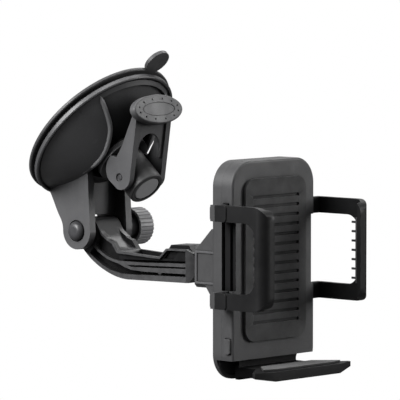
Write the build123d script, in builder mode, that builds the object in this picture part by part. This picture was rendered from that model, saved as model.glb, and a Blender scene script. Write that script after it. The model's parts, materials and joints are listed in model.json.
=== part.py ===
from build123d import *
import os
from math import acos, cos, pi, radians, sin, sqrt, tan

os.makedirs("parts", exist_ok=True)

# A windscreen phone mount: a suction cup with a lever, a jointed arm, a ball joint and a cradle
# with two sliding jaws.  X is across the phone, -Y faces the driver and Z is up.
# The origin is the centre of the suction cup's flat rim, where it meets the glass.

# ---------------------------------------------------------------- driving dimensions, mm and degrees
glass_tilt = 41.5          # slope of the cup's axis below the horizontal
cup_radius = 39.4          # free rim of the rubber cup
lip_height = 1.8
band_radius = 38.4         # rim band of the housing
band_low = 3.4
band_high = 5.8
dome_radius = 36.2         # foot of the housing's dome
tower_radius = 13.0
tower_top = 22.0           # the lever's cams press on this face
stem_radius = 8.9
stem_end = 41.7
stem_stroke = 5.5
pin_out = 33.0             # lever pin's distance from the glass
pin_radius = 1.4
slide_gap = 0.08           # running clearance of the stem in its tower
turn_gap = 0.05            # running clearance of pins and balls

lever_half = 12.2
lever_plate = 3.0
lever_throw = 90.0
pad_length = 33.2
pad_height = 14.0

ear_half = 14.5
ear_thick = 3.9
pivot_y = 0.8
pivot_z = -48.2
ear_radius = 8.8
barrel_radius = 6.2
barrel_half = 9.6
bolt_radius = 3.0
knob_radius = 8.9
knob_near = 20.9
knob_far = 29.9

arm_half = 8.0
nose_y = -66.5

ball_y = -76.0
ball_z = -61.0
ball_radius = 6.0
seat_thick = 1.35
ball_gap = 0.06
cap_half = 9.7
cap_rear = -70.0
cap_front = -83.0

cradle_half = 28.5
cradle_top = -10.2
cradle_bottom = -110.2
cradle_corner = 12.0
cradle_back = -97.5
split_y = -103.5
cradle_front = -110.0
wall = 1.8
floor = 2.0
front_shell_bottom = -100.7

jaw_outer = 37.5
jaw_thick = 2.8
jaw_top = -29.3
jaw_bottom = -76.3
jaw_bar = 7.4
jaw_rear = -104.6
jaw_front = -136.5
jaw_bend = 5.0
jaw_lip = 30.0
jaw_round = 6.5            # rounding of the front corners, seen from the side
window_front = -131.0
window_round = 6.5
leg_thick = 3.2
web_out = 27.4
web_in = 25.4

gear_module = 1.0
gear_teeth = 12
pressure_angle = 25.0
backlash = 0.22
gear_z = (jaw_top + jaw_bottom) / 2
gear_rear = -104.8
gear_front = -107.7
rack_reach = 14.0

# ---------------------------------------------------------------- frames and small helpers
ct = cos(radians(glass_tilt))
st = sin(radians(glass_tilt))
out_dir = Vector(0, -ct, -st)
cup_axis = Axis((0, 0, 0), out_dir)
section_plane = Plane(origin=(0, 0, 0), x_dir=(1, 0, 0), z_dir=(0, st, -ct))


def yz(down, out):
    """Side-view point of the base, from its distance down the glass and out from it."""
    return (st * down - ct * out, -ct * down - st * out)


def cup_plane(out):
    """Plane parallel to the glass; its Y runs up the glass and its Z away from it."""
    return Plane(origin=out_dir * out, x_dir=(1, 0, 0), z_dir=out_dir)


def finish(piece, name):
    piece.part.label = name
    export_step(piece.part, f"parts/{name}.step")


pin_y, pin_z = yz(0, pin_out)

# ---------------------------------------------------------------- suction cup
cone_root = 13.0
core_low = 5.8
core_high = 8.4
lip_inner = 29.5
cup_neck = 36.8
tab_turn = 11.3            # the pull tab stands a little to the right of the top
tab_width = 6.5
tab_head = 6.4
tab_reach = cup_radius + 4.9

with BuildPart() as suction_cup:
    with BuildSketch(section_plane):
        with BuildLine():
            Polyline(
                (lip_inner, 0),
                (cup_radius - 0.4, 0),
                (cup_radius, 0.4),
                (cup_radius, lip_height - 0.4),
                (cup_radius - 0.4, lip_height),
                (cup_neck, lip_height),
                (cup_neck, band_low - 0.05),
                (33.0, band_low - 0.05),
                (28.5, 2.9),
                (cone_root, core_high),
                (cone_root, core_low),
                close=True,
            )
        make_face()
    revolve(axis=cup_axis)
    # pull tab: a neck and a rounded head that stand out of the lip, up the glass
    tab_x = sin(radians(tab_turn))
    tab_y = cos(radians(tab_turn))
    with BuildSketch(cup_plane(0.1)):
        with Locations((tab_x * cup_radius, tab_y * cup_radius)):
            Rectangle(tab_width, 6.0, rotation=-tab_turn)
        with Locations((tab_x * tab_reach, tab_y * tab_reach)):
            Circle(tab_head)
    extrude(amount=1.7)
finish(suction_cup, "suction_cup")

with BuildPart() as cup_insert:
    with BuildSketch(cup_plane(core_low + 0.8)):
        Circle(10.5)
    extrude(amount=1.1)
    with BuildSketch(cup_plane(core_low + 1.5)):
        Circle(3.5)
    extrude(amount=24.0 - core_low - 1.5)
finish(cup_insert, "cup_insert")

with BuildPart() as cup_core:
    with BuildSketch(cup_plane(core_low)):
        Circle(cone_root - 0.3)
    extrude(amount=core_high - core_low)
    add(cup_insert.part, mode=Mode.SUBTRACT)
finish(cup_core, "cup_core")

# ---------------------------------------------------------------- base housing
tower_foot = 13.0
spring_room = 12.5
head_radius = 4.6          # domed head of the pivot bolt, in a shallow recess of the left ear
head_height = 3.0
head_sunk = 0.6
bead_width = 1.3
bead_rise = 0.45

# half-width of the channel in the dome, at places up the glass
channel_side = [(14.6, -12.0), (13.9, -3.0), (13.5, 6.0), (14.5, 15.0),
                (17.5, 21.0), (20.6, 25.5), (25.5, 31.0)]


def channel_edge(side, shift):
    """One edge of the channel, moved sideways, as points seen along the cup's axis."""
    return [(side * (x + shift), up) for x, up in channel_side]


# channel in the dome, from the ears past the tower and up to the rim, in which the lever lies
with BuildPart() as trough:
    with BuildSketch(section_plane):
        Polygon((tower_radius, 25.0), (tower_radius, 18.6), (26.2, 10.4), (33.4, 5.7), (34.4, 6.7),
                (34.4, 25.0),
                align=None)
    revolve(axis=cup_axis)
    with BuildSketch(cup_plane(0)):
        with BuildLine():
            Spline(channel_edge(1, 0))
            Polyline(channel_edge(1, 0)[-1], (30.0, 36.0), (-30.0, 36.0), channel_edge(-1, 0)[-1])
            Spline(channel_edge(-1, 0))
            Line(channel_edge(-1, 0)[0], channel_edge(1, 0)[0])
        make_face()
    extrude(amount=30.0, mode=Mode.INTERSECT)

# low bead along each edge of the channel
with BuildPart() as channel_bead:
    with BuildSketch(section_plane):
        with BuildLine():
            ThreePointArc((13.6, 20.6), (26.5, 12.9 + bead_rise), (33.6, 7.4))
            Polyline((33.6, 7.4), (32.9, 6.4), (26.0, 11.9), (13.6, 18.9), (13.6, 20.6))
        make_face()
    revolve(axis=cup_axis)
    with BuildSketch(cup_plane(0)):
        for side in (-1, 1):
            with BuildLine():
                Spline(channel_edge(side, 0.02))
                Line(channel_edge(side, 0.02)[-1], channel_edge(side, bead_width)[-1])
                Spline(channel_edge(side, bead_width))
                Line(channel_edge(side, bead_width)[0], channel_edge(side, 0.02)[0])
            make_face()
    extrude(amount=30.0, mode=Mode.INTERSECT)

with BuildPart() as base_housing:
    with BuildSketch(section_plane):
        with BuildLine():
            Line((0, tower_top), (tower_radius, tower_top))
            Line((tower_radius, tower_top), (tower_radius, 21.3))
            Line((tower_radius, 21.3), (15.0, 20.2))
            ThreePointArc((15.0, 20.2), (26.5, 12.9), (dome_radius, 5.4))
            Polyline(
                (dome_radius, 5.4),
                (dome_radius, 4.7),
                (dome_radius + 1.0, 4.7),
                (dome_radius + 1.0, band_high),
                (band_radius - 0.4, band_high),
                (band_radius, band_high - 0.4),
                (band_radius, band_low + 0.4),
                (band_radius - 0.4, band_low),
                (0, band_low),
                (0, tower_top),
            )
        make_face()
    revolve(axis=cup_axis)
    add(trough.part, mode=Mode.SUBTRACT)
    add(channel_bead.part)
    # two ears that carry the arm
    for side in (-1, 1):
        with BuildSketch(Plane.YZ.offset(side * (ear_half - ear_thick))):
            with BuildLine():
                Polyline((pivot_y - ear_radius, pivot_z),
                (-6.4, -19.4), yz(12, 14), yz(30, 5.4), yz(34.5, 5.2))
                Spline(yz(34.5, 5.2), (12.6, -40.6), (pivot_y + ear_radius, pivot_z + 0.0),
                       tangents=((-0.6, -0.8), (0, -1)))
                ThreePointArc(
                    (pivot_y + ear_radius, pivot_z),
                    (pivot_y, pivot_z - ear_radius),
                    (pivot_y - ear_radius, pivot_z),
                )
            make_face()
        extrude(amount=side * ear_thick)
    # bridge between the ears
    with BuildSketch(Plane.YZ):
        Polygon((-0.6, -41.0), (3.0, -41.0), (7.0, -24.0), (7.0, -14.0), (-0.6, -14.0), align=None)
    extrude(amount=ear_half - ear_thick + 0.1, both=True)
    # hollow inside, open to the glass
    with BuildSketch(section_plane):
        Polygon(
            (0, band_low - 1.0),
            (33.5, band_low - 1.0),
            (33.5, band_low + 0.3),
            (spring_room, 14.2),
            (spring_room, tower_foot),
            (0, tower_foot),
            align=None,
        )
    revolve(axis=cup_axis, mode=Mode.SUBTRACT)
    with BuildSketch(cup_plane(tower_foot - 1.0)):
        Circle(stem_radius + slide_gap)
    extrude(amount=tower_top - tower_foot + 2.0, mode=Mode.SUBTRACT)
    # recess round the bolt's head
    with BuildSketch(Plane.YZ.offset(-ear_half - 0.5)):
        with Locations((pivot_y, pivot_z)):
            Circle(head_radius + 0.6)
    extrude(amount=0.5 + head_sunk, mode=Mode.SUBTRACT)
    # pivot bores
    with BuildSketch(Plane.YZ.offset(-ear_half - 1.0)):
        with Locations((pivot_y, pivot_z)):
            Circle(bolt_radius + turn_gap)
    extrude(amount=2 * ear_half + 2.0, mode=Mode.SUBTRACT)
finish(base_housing, "base_housing")

# ---------------------------------------------------------------- stem with its cap and pin
with BuildPart() as stem:
    with BuildSketch(cup_plane(tower_foot + 1.0)):
        Circle(stem_radius)
    extrude(amount=stem_end - tower_foot - 1.0)
    fillet(stem.edges().filter_by(GeomType.CIRCLE).sort_by(cup_axis)[-1], 0.8)
    with BuildSketch(cup_plane(core_high + 0.05)):
        Circle(5.0)
    extrude(amount=tower_foot + 1.0 - core_high)
    with BuildSketch(cup_plane(stem_end - 1.6)):
        Circle(6.9)
    extrude(amount=2.0, mode=Mode.SUBTRACT)
    with BuildSketch(Plane.YZ.offset(-12)):
        with Locations((pin_y, pin_z)):
            Circle(pin_radius + 0.01)
    extrude(amount=24, mode=Mode.SUBTRACT)
    add(cup_insert.part, mode=Mode.SUBTRACT)
finish(stem, "stem")

with BuildPart() as stem_cap:
    with BuildSketch(cup_plane(stem_end - 1.6)):
        Circle(6.6)
    extrude(amount=1.5)
    fillet(stem_cap.edges().filter_by(GeomType.CIRCLE).sort_by(cup_axis)[-1], 0.5)
finish(stem_cap, "stem_cap")

with BuildPart() as lever_pin:
    with BuildSketch(Plane.YZ.offset(-lever_half + 0.4)):
        with Locations((pin_y, pin_z)):
            Circle(pin_radius)
    extrude(amount=2 * lever_half - 0.8)
    chamfer(lever_pin.edges().filter_by(GeomType.CIRCLE), 0.3)
finish(lever_pin, "lever_pin")

spring_low = core_high + 0.15
spring_high = tower_foot - 0.15
spring_wire = 0.55
spring_coil = 10.6
with BuildPart() as return_spring:
    coil_height = spring_high - spring_low - 2 * spring_wire
    with BuildLine():
        spring_path = Helix(
            pitch=coil_height / 3,
            height=coil_height,
            radius=spring_coil,
            center=out_dir * (spring_low + spring_wire),
            direction=out_dir,
        )
    with BuildSketch(Plane(origin=spring_path @ 0, z_dir=spring_path % 0)):
        Circle(spring_wire)
    sweep(path=spring_path)
finish(return_spring, "return_spring")

# ---------------------------------------------------------------- lever
cam_high = pin_out - tower_top
cam_rate = stem_stroke / radians(lever_throw)


def cam_point(angle):
    """Point of the cam whose reach towards the tower falls evenly as the lever opens."""
    reach = cam_high - cam_rate * radians(glass_tilt - angle) - 0.05
    a = radians(angle)
    y = reach * cos(a) - cam_rate * sin(a)
    z = reach * sin(a) + cam_rate * cos(a)
    return (pin_y + y, pin_z + z)


def at_pin(y, z):
    return (pin_y + y, pin_z + z)


lean = radians(8.5)
web_plane = Plane(
    origin=(0, pin_y - 5.8, pin_z),
    x_dir=(1, 0, 0),
    z_dir=(0, -cos(lean), -sin(lean)),
)
pad_tilt = radians(14.0)
pad_plane = Plane(
    origin=(0, pin_y - 14.2, pin_z + 32.2),
    x_dir=(1, 0, 0),
    z_dir=(0, -cos(pad_tilt), sin(pad_tilt)),
)
arch_radius = 7.4
arch_height = 13.3
pad_thick = 3.2
cam_first = -56
cam_last = 44

with BuildPart() as lever:
    for side in (-1, 1):
        with BuildSketch(Plane.YZ.offset(side * (lever_half - lever_plate))):
            with BuildLine():
                Spline([cam_point(a) for a in range(cam_first, cam_last + 1, 10)])
                Polyline(cam_point(cam_first), at_pin(1.6, -5.3))
                ThreePointArc(at_pin(1.6, -5.3), at_pin(-3.4, -5.2), at_pin(-6.7, -1.0))
                Polyline(at_pin(-6.7, -1.0), at_pin(-10.8, 26.5), at_pin(-13.0, 33.0), at_pin(-10.6, 34.0))
                Polyline(at_pin(-10.6, 34.0), at_pin(-7.4, 26.8), at_pin(-1.9, 15.2), at_pin(1.8, 9.4))
                Line(at_pin(1.8, 9.4), cam_point(cam_last))
            make_face()
        extrude(amount=side * lever_plate)
    with BuildSketch(web_plane):
        with Locations((0, 18.5)):
            Rectangle(2 * lever_half, 19.0)
        with Locations((0, arch_height)):
            Circle(arch_radius, mode=Mode.SUBTRACT)
        with Locations((0, arch_height - 5.0)):
            Rectangle(2 * arch_radius, 10.0, mode=Mode.SUBTRACT)
    extrude(amount=-1.8)
    with BuildSketch(pad_plane):
        Ellipse(pad_length / 2, pad_height / 2)
    extrude(amount=-pad_thick)
    pad_rim = lever.faces().filter_by(Axis(pad_plane.origin, pad_plane.z_dir)).sort_by(
        Axis(pad_plane.origin, pad_plane.z_dir))[-1]
    fillet(pad_rim.edges(), 0.9)
    # shallow oval seat and a ring of small dimples
    with BuildSketch(pad_plane.offset(-0.5)):
        Ellipse(10.9, 3.3)
    extrude(amount=2, mode=Mode.SUBTRACT)
    with BuildSketch(pad_plane.offset(-0.7)):
        for step in range(12):
            turn = radians(15 + 30 * step)
            with Locations((13.4 * cos(turn), 4.9 * sin(turn))):
                Circle(0.42)
    extrude(amount=2, mode=Mode.SUBTRACT)
    with BuildSketch(Plane.YZ.offset(-lever_half - 1)):
        with Locations((pin_y, pin_z)):
            Circle(pin_radius + turn_gap)
    extrude(amount=2 * lever_half + 2, mode=Mode.SUBTRACT)
    for side in (-1, 1):
        with BuildSketch(Plane.YZ.offset(side * (lever_half - 0.7))):
            with Locations((pin_y, pin_z)):
                Circle(pin_radius + 0.6)
        extrude(amount=side * 1.7, mode=Mode.SUBTRACT)
finish(lever, "lever")

with BuildPart() as lever_badge:
    with BuildSketch(pad_plane.offset(-0.48)):
        Ellipse(10.6, 3.0)
    extrude(amount=0.35)
finish(lever_badge, "lever_badge")

# ---------------------------------------------------------------- clevis hardware
washer_thick = 0.8

with BuildPart() as clevis_bolt:
    with BuildSketch(Plane.YZ.offset(-ear_half + head_sunk - 0.05)):
        with Locations((pivot_y, pivot_z)):
            Circle(head_radius)
    extrude(amount=-head_height)
    fillet(clevis_bolt.edges().filter_by(GeomType.CIRCLE).sort_by(Axis.X)[0], head_height - 0.25)
    with BuildSketch(Plane.YZ.offset(-ear_half + head_sunk - 0.05)):
        with Locations((pivot_y, pivot_z)):
            Circle(bolt_radius)
    extrude(amount=ear_half - head_sunk + knob_far - 2.0)
finish(clevis_bolt, "clevis_bolt")

with BuildPart() as friction_washers:
    for side in (-1, 1):
        with BuildSketch(Plane.YZ.offset(side * (barrel_half + 0.05))):
            with Locations((pivot_y, pivot_z)):
                Circle(barrel_radius - 0.4)
                Circle(bolt_radius + turn_gap, mode=Mode.SUBTRACT)
        extrude(amount=side * washer_thick)
finish(friction_washers, "friction_washers")

with BuildPart() as knob_washer:
    with BuildSketch(Plane.YZ.offset(ear_half + 0.05)):
        with Locations((pivot_y, pivot_z)):
            Circle(6.0)
            Circle(bolt_radius + turn_gap, mode=Mode.SUBTRACT)
    extrude(amount=1.0)
finish(knob_washer, "knob_washer")

knob_ribs = 28
nut_flats = 9.0
with BuildPart() as knob_nut:
    with BuildSketch(Plane.YZ.offset(knob_far - 5.6)):
        with Locations((pivot_y, pivot_z)):
            RegularPolygon(nut_flats / 2, 6, major_radius=False)
            Circle(bolt_radius + turn_gap, mode=Mode.SUBTRACT)
    extrude(amount=4.0)
finish(knob_nut, "knob_nut")

with BuildPart() as knob:
    with BuildSketch(Plane.YZ.offset(knob_near)):
        with Locations((pivot_y, pivot_z)):
            Circle(knob_radius)
            with PolarLocations(knob_radius + 0.1, knob_ribs):
                Circle(0.4, mode=Mode.SUBTRACT)
    extrude(amount=knob_far - knob_near)
    with BuildSketch(Plane.YZ.offset(ear_half + 1.15)):
        with Locations((pivot_y, pivot_z)):
            Circle(5.2)
    extrude(amount=knob_near - ear_half)
    with BuildSketch(Plane.YZ.offset(knob_near)):
        with Locations((pivot_y, pivot_z)):
            Circle(knob_radius - 1.3)
            Circle(5.2, mode=Mode.SUBTRACT)
    extrude(amount=3.4, mode=Mode.SUBTRACT)
    with BuildSketch(Plane.YZ.offset(knob_far - 5.6)):
        with Locations((pivot_y, pivot_z)):
            RegularPolygon(nut_flats / 2 + 0.02, 6, major_radius=False)
    extrude(amount=4.1, mode=Mode.SUBTRACT)
    with BuildSketch(Plane.YZ.offset(ear_half)):
        with Locations((pivot_y, pivot_z)):
            Circle(bolt_radius + turn_gap)
    extrude(amount=knob_far - ear_half - 1.5, mode=Mode.SUBTRACT)
finish(knob, "knob")

# ---------------------------------------------------------------- arm
pocket_depth = 3.6
bend_depth = 2.2
shallow_depth = 1.2
pocket_end = -62.8
boss_y = -46.5
boss_z = -64.9

with BuildPart() as arm:
    with BuildSketch(Plane.YZ.offset(-arm_half)):
        with BuildLine():
            Line((pivot_y, pivot_z), (-2.0, -42.5))
            Spline((-2.0, -42.5), (-4.9, -43.4), (-6.6, -45.5), (-9.6, -49.1), (-13.1, -51.4),
                   (-16.5, -52.7),
                   tangents=((-1, 0), (-1, -0.25)))
            Polyline((-16.5, -52.7), (-19.8, -56.9), (-46.0, -58.3), (-50.4, -54.1), (-63.0, -53.8))
            Polyline((-63.0, -53.8), (nose_y + 0.8, -55.6), (nose_y, -59.5), (nose_y + 0.4, -66.6))
            Polyline((nose_y + 0.4, -66.6), (-64.0, -69.4), (-26.0, -70.0))
            Spline((-26.0, -70.0), (-15.2, -68.0), (-4.6, -63.0), (2.6, -57.2),
                   tangents=((1, 0.03), (0.7, 0.7)))
            Line((2.6, -57.2), (pivot_y, pivot_z))
        make_face()
    extrude(amount=2 * arm_half)
    with BuildSketch(Plane.YZ.offset(-barrel_half)):
        with Locations((pivot_y, pivot_z)):
            Circle(barrel_radius)
    extrude(amount=2 * barrel_half)
    # raised middle of the block at the front end
    with BuildSketch(Plane.YZ.offset(-arm_half + 2.6)):
        Polygon((-47.4, -57.6), (-51.4, -52.4), (-62.6, -52.0), (-64.8, -55.0), (-60.0, -57.6), align=None)
    extrude(amount=2 * (arm_half - 2.6))
    # scoop in the shoulder, and the trough between it and the block
    with BuildSketch(Plane.YZ.offset(-arm_half + 2.8)):
        with BuildLine():
            Spline((-7.4, -46.3), (-10.6, -51.1), (-15.2, -54.7), (-21.2, -56.7),
                   tangents=((-0.5, -1), (-1, -0.1)))
            Polyline((-21.2, -56.7), (-21.2, -46.0), (-7.4, -46.3))
        make_face()
    extrude(amount=2 * (arm_half - 2.8), mode=Mode.SUBTRACT)
    with BuildSketch(Plane.YZ.offset(-arm_half + 1.8)):
        Polygon((-20.6, -50.0), (-21.8, -59.4), (-44.4, -60.0), (-46.8, -50.0), align=None)
    extrude(amount=2 * (arm_half - 1.8), mode=Mode.SUBTRACT)
    # pockets on both sides leave thin ribs that follow the bend
    for side in (-1, 1):
        with BuildSketch(Plane.YZ.offset(side * (arm_half - bend_depth))):
            Polygon((-6.9, -47.5), (-9.2, -50.2), (-12.8, -52.4), (-15.9, -53.7), (-18.6, -57.4),
                    (-19.6, -58.2),
                    (-19.6, -61.4), (-16.9, -60.9), (-13.3, -59.9), (-10.1, -58.4), (-7.4, -56.9),
                    (-5.6, -54.7),
                    (-6.6, -51.5), align=None)
            Polygon((-48.0, -59.0), (-51.5, -55.1), (-57.2, -55.2), (-54.2, -59.0), align=None)
        extrude(amount=side * (bend_depth + 1.0), mode=Mode.SUBTRACT)
        with BuildSketch(Plane.YZ.offset(side * (arm_half - shallow_depth))):
            Polygon((-19.5, -58.0), (-46.3, -59.2), (-51.0, -54.9), (pocket_end, -54.7), (pocket_end, -60.4),
                    (-36.0, -61.5), (-19.5, -61.5), align=None)
        extrude(amount=side * (shallow_depth + 1.0), mode=Mode.SUBTRACT)
        with BuildSketch(Plane.YZ.offset(side * (arm_half - pocket_depth))):
            Polygon((-22.5, -60.8), (pocket_end, -59.5), (pocket_end, -60.4), (-36.0, -61.5), (-22.5, -61.5),
                    align=None)
            Polygon((-25.5, -63.1), (pocket_end, -62.1), (pocket_end, -62.9), (-40.0, -63.6), (-28.0, -63.9),
                    align=None)
            Polygon((pocket_end, -65.3), (pocket_end, -66.6), (-40.0, -67.1), (-28.0, -67.5), (-22.0, -67.4),
                    (-15.2, -66.2), (-9.9, -64.1), (-4.6, -61.1), (-1.7, -58.8), (-4.3, -55.9), (-6.8, -57.9),
                    (-9.7, -59.5), (-12.9, -61.0), (-16.7, -62.1), (-20.4, -62.9), (-24.0, -64.2),
                    (-28.0, -65.3),
                    (-36.5, -65.7), align=None)
        extrude(amount=side * (pocket_depth + 1.0), mode=Mode.SUBTRACT)
    # screw-boss mark on the lower rib
    with BuildSketch(Plane.YZ.offset(-arm_half + 0.1)):
        with Locations((boss_y, boss_z)):
            Circle(1.5)
    extrude(amount=2 * (arm_half - 0.1))
    with BuildSketch(Plane.YZ.offset(-barrel_half - 1)):
        with Locations((pivot_y, pivot_z)):
            Circle(bolt_radius + turn_gap)
    extrude(amount=2 * barrel_half + 2, mode=Mode.SUBTRACT)
    # socket for the ball's shank
    with BuildSketch(Plane.XZ.offset(-nose_y - 12.0)):
        with Locations((0, ball_z)):
            Circle(3.2)
    extrude(amount=13.0, mode=Mode.SUBTRACT)
    # the nose's corners are cut back so that the cradle can swing
    for side in (-1, 1):
        with BuildSketch(Plane.XY.offset(-75.0)):
            Polygon((side * 4.6, nose_y - 1), (side * (arm_half + 1), nose_y - 1),
                    (side * (arm_half + 1), -62.0),
                    (side * arm_half, -62.9), align=None)
        extrude(amount=25.0, mode=Mode.SUBTRACT)
finish(arm, "arm")

with BuildPart() as ball_stud:
    with BuildSketch(Plane.XZ.offset(-nose_y - 11.9)):
        with Locations((0, ball_z)):
            Circle(3.18)
    extrude(amount=nose_y - ball_y + 11.9)
    with Locations((0, ball_y, ball_z)):
        Sphere(ball_radius)
finish(ball_stud, "ball_stud")

# ---------------------------------------------------------------- ball seats, cap and hub
ball_plane = Plane(origin=(0, ball_y, ball_z), x_dir=(1, 0, 0), z_dir=(0, 0, 1))
ball_axis = Axis((0, ball_y, ball_z), (0, 1, 0))
seat_inner = ball_radius + ball_gap
seat_outer = seat_inner + seat_thick
cavity = seat_outer + ball_gap


def ball_point(radius, degrees):
    """Point at an angle from the +Y axis, in the half plane that is turned about that axis."""
    return (radius * sin(radians(degrees)), radius * cos(radians(degrees)))


# two spherical shells round the ball, each between two angles from the +Y axis
for name, first, last in (("rear_seat", 50, 74), ("front_seat", 104, 165)):
    middle = (first + last) / 2
    with BuildPart() as seat:
        with BuildSketch(ball_plane):
            with BuildLine():
                ThreePointArc(
                    ball_point(seat_inner, first),
                    ball_point(seat_inner, middle),
                    ball_point(seat_inner, last),
                )
                Line(ball_point(seat_inner, last), ball_point(seat_outer, last))
                ThreePointArc(
                    ball_point(seat_outer, last),
                    ball_point(seat_outer, middle),
                    ball_point(seat_outer, first),
                )
                Line(ball_point(seat_outer, first), ball_point(seat_inner, first))
            make_face()
        revolve(axis=ball_axis)
    finish(seat, name)

plug_radius = 8.0
cap_top = -43.2
cap_low = -78.8
screw_z = (-46.6, -75.6)

with BuildPart() as socket_cap:
    with BuildSketch(Plane.YZ.offset(-cap_half)):
        with BuildLine():
            Polyline((cap_rear, ball_z + cap_half), (-72.6, ball_z + cap_half), (-79.4, -44.4),
                     (-80.6, cap_top))
            Polyline((-80.6, cap_top), (cap_front, cap_top), (cap_front, cap_low), (-82.0, cap_low))
            Polyline((-82.0, cap_low), (-81.0, -75.6), (-77.4, ball_z - cap_half),
                     (cap_rear, ball_z - cap_half))
            Line((cap_rear, ball_z - cap_half), (cap_rear, ball_z + cap_half))
        make_face()
    extrude(amount=2 * cap_half)
    long_edges = socket_cap.edges().filter_by(Axis.Y).filter_by_position(Axis.Z, ball_z - cap_half - 0.1,
                                                                         ball_z + cap_half + 0.1)
    chamfer(long_edges, 1.5)
    with Locations((0, ball_y, ball_z)):
        Sphere(cavity, mode=Mode.SUBTRACT)
    with BuildSketch(Plane.XZ.offset(-ball_y + 1.0)):
        with Locations((0, ball_z)):
            Circle(plug_radius)
    extrude(amount=12.0, mode=Mode.SUBTRACT)
    with BuildSketch(ball_plane):
        Polygon((0, 0), (9.6, 7.0), (0, 7.0), align=None)
    revolve(axis=ball_axis, mode=Mode.SUBTRACT)
    with BuildSketch(Plane.XZ.offset(-cap_rear - 1)):
        with Locations((0, screw_z[0]), (0, screw_z[1])):
            Circle(1.25)
    extrude(amount=20, mode=Mode.SUBTRACT)
finish(socket_cap, "socket_cap")

flange_top = -38.0
flange_low = -84.0
flange_y = cradle_back + 2.6
hub_half = 17.0            # the hub widens to this at its flange
hub_slope = (hub_half - cap_half) / (cap_front - flange_y)
block_top = -46.2          # a framed block stands proud of the hub's sides
block_low = -76.4
block_proud = 1.2
frame_width = 2.2
frame_depth = 0.9
panel_y = cap_front - frame_width
panel_x = cap_half + block_proud - frame_depth + hub_slope * frame_width
hub_screw_x = 13.5
hub_screw_z = (flange_top - 5.0, flange_low + 5.0)
with BuildPart() as swivel_hub:
    with BuildSketch(Plane.XZ.offset(-ball_y + 2.4)):
        with Locations((0, ball_z)):
            Circle(plug_radius - 0.05)
    extrude(amount=ball_y - 2.4 - cap_front)
    with BuildSketch(Plane.XZ.offset(-cap_front)):
        with Locations((0, (cap_top + cap_low) / 2)):
            RectangleRounded(2 * cap_half, cap_top - cap_low, 2.0)
    with BuildSketch(Plane.XZ.offset(-cradle_back - 2.6)):
        with Locations((0, ball_z)):
            RectangleRounded(2 * hub_half, flange_top - flange_low, 5.0)
    loft()
    with BuildSketch(Plane.XZ.offset(-cradle_back - 2.6)):
        with Locations((0, ball_z)):
            RectangleRounded(2 * hub_half, flange_top - flange_low, 5.0)
    extrude(amount=2.55)
    for side in (-1, 1):
        with BuildSketch(Plane.XY.offset(block_low)):
            Polygon((0, cap_front), (side * (cap_half + block_proud), cap_front),
                    (side * (hub_half + block_proud), flange_y),
                    (side * (hub_half + block_proud), cradle_back + 0.05),
                    (0, cradle_back + 0.05), align=None)
        extrude(amount=block_top - block_low)
        with BuildSketch(Plane.XY.offset(block_low + frame_width)):
            Polygon((side * panel_x, panel_y), (side * (hub_half + block_proud - frame_depth), flange_y),
                    (side * (hub_half + block_proud - frame_depth), cradle_back),
                    (side * (hub_half + 2 * block_proud), cradle_back),
                    (side * (hub_half + 2 * block_proud), panel_y), align=None)
        extrude(amount=block_top - block_low - 2 * frame_width, mode=Mode.SUBTRACT)
    with Locations((0, ball_y, ball_z)):
        Sphere(cavity, mode=Mode.SUBTRACT)
    with BuildSketch(Plane.XZ.offset(-cap_front)):
        with Locations((0, screw_z[0]), (0, screw_z[1])):
            Circle(1.02)
    extrude(amount=7.0, mode=Mode.SUBTRACT)
    with BuildSketch(Plane.XZ.offset(-cap_front)):
        with GridLocations(hub_screw_x * 2, 0, 2, 1):
            with Locations((0, hub_screw_z[0]), (0, hub_screw_z[1])):
                Circle(2.3)
    extrude(amount=cap_front - cradle_back - 2.6, mode=Mode.SUBTRACT)
    with BuildSketch(Plane.XZ.offset(-cap_front)):
        with GridLocations(hub_screw_x * 2, 0, 2, 1):
            with Locations((0, hub_screw_z[0]), (0, hub_screw_z[1])):
                Circle(1.02)
    extrude(amount=20.0, mode=Mode.SUBTRACT)
finish(swivel_hub, "swivel_hub")

with BuildPart() as cap_screws:
    for z in screw_z:
        with BuildSketch(Plane.XZ.offset(-cap_front - 2.5)):
            with Locations((0, z)):
                Circle(1.0)
        extrude(amount=8.5)
finish(cap_screws, "cap_screws")

with BuildPart() as hub_screws:
    with BuildSketch(Plane.XZ.offset(-cradle_back - 4.0)):
        with GridLocations(hub_screw_x * 2, 0, 2, 1):
            with Locations((0, hub_screw_z[0]), (0, hub_screw_z[1])):
                Circle(1.0)
    extrude(amount=5.9)
    with BuildSketch(Plane.XZ.offset(-cradle_back - 4.0)):
        with GridLocations(hub_screw_x * 2, 0, 2, 1):
            with Locations((0, hub_screw_z[0]), (0, hub_screw_z[1])):
                Circle(2.0)
    extrude(amount=1.35)
finish(hub_screws, "hub_screws")

# ---------------------------------------------------------------- cradle shells
cradle_z = (cradle_top + cradle_bottom) / 2
cradle_height = cradle_top - cradle_bottom
slot_clear = 0.35
notch_in = 26.2            # depth to which the sides are open between the jaw's bars
screw_places = [(-20.0, -21.0), (20.0, -21.0), (-20.0, -84.5), (20.0, -84.5)]
boss_radius = 3.0
button_y = -107.4
button_z = -94.0
stem_y = -106.0            # the button's stem and spring lie in the rack's layer
pawl_x = 1.0
pawl_z = -82.0

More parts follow.
